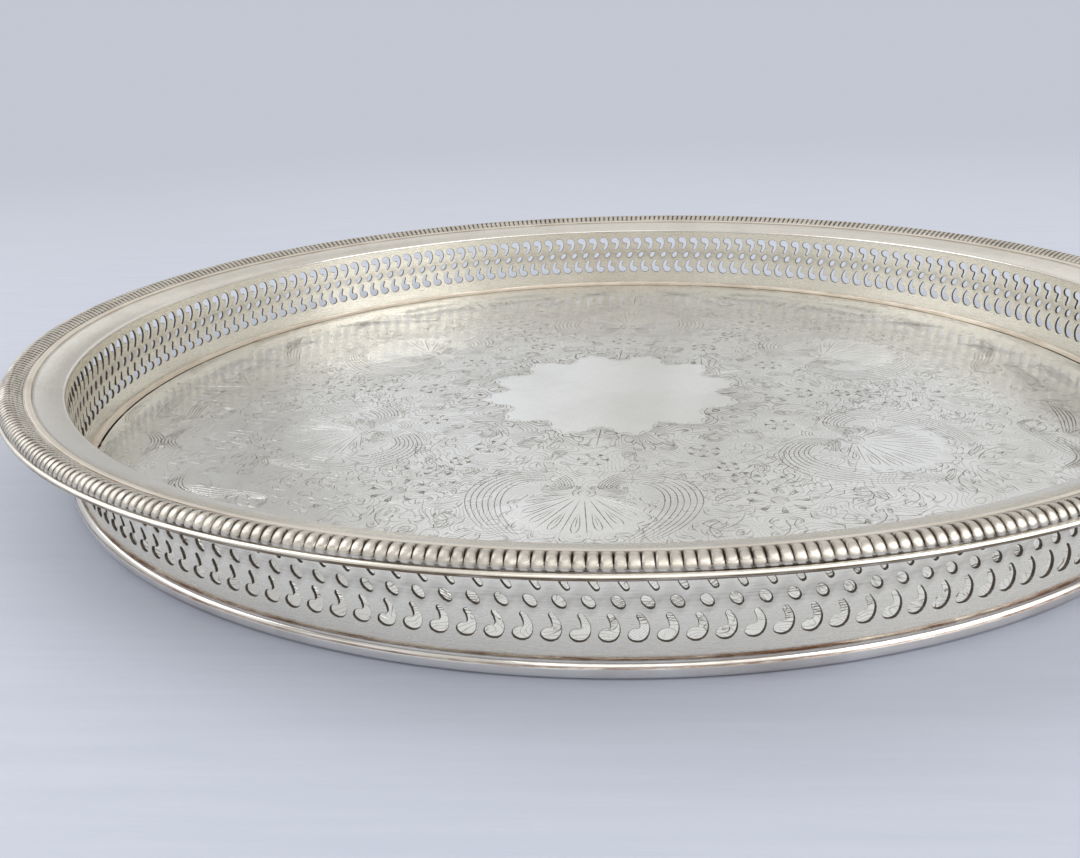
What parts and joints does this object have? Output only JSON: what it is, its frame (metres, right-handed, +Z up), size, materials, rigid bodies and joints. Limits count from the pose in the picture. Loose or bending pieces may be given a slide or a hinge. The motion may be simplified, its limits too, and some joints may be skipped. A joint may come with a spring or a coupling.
{
  "type": "gallery salver",
  "caption": "Round footed serving tray with an engraved flat floor, a pierced upright gallery and a turned-out gadrooned rim.",
  "frame": {"origin": "centre of the tray, on the plane that the foot stands on", "axes": "+Z up along the tray's axis, -Y towards the viewer, +X to the viewer's right"},
  "size_m": [0.3551, 0.355, 0.0317],
  "materials": {
    "engraved_silver": "polished silver, flat-chased and engraved, fine scratches",
    "foot_silver": "polished silver, worn, tarnished in the joint",
    "wire_silver": "polished silver with brown tarnish in the corners",
    "gallery_silver": "polished silver, pierced, fine horizontal scratches",
    "flange_silver": "polished silver, lightly tarnished",
    "border_silver": "stamped silver, dark tarnish between the lobes",
    "solder": "dull grey soft solder"
  },
  "bodies": {
    "root": {"floor_plate": "engraved_silver", "foot_moulding": "foot_silver", "corner_wire": "wire_silver", "gallery_band": "gallery_silver", "rim_flange": "flange_silver", "rim_bead": "wire_silver", "gadroon_border": "border_silver", "border_filling": "solder"}
  },
  "joints": []
}
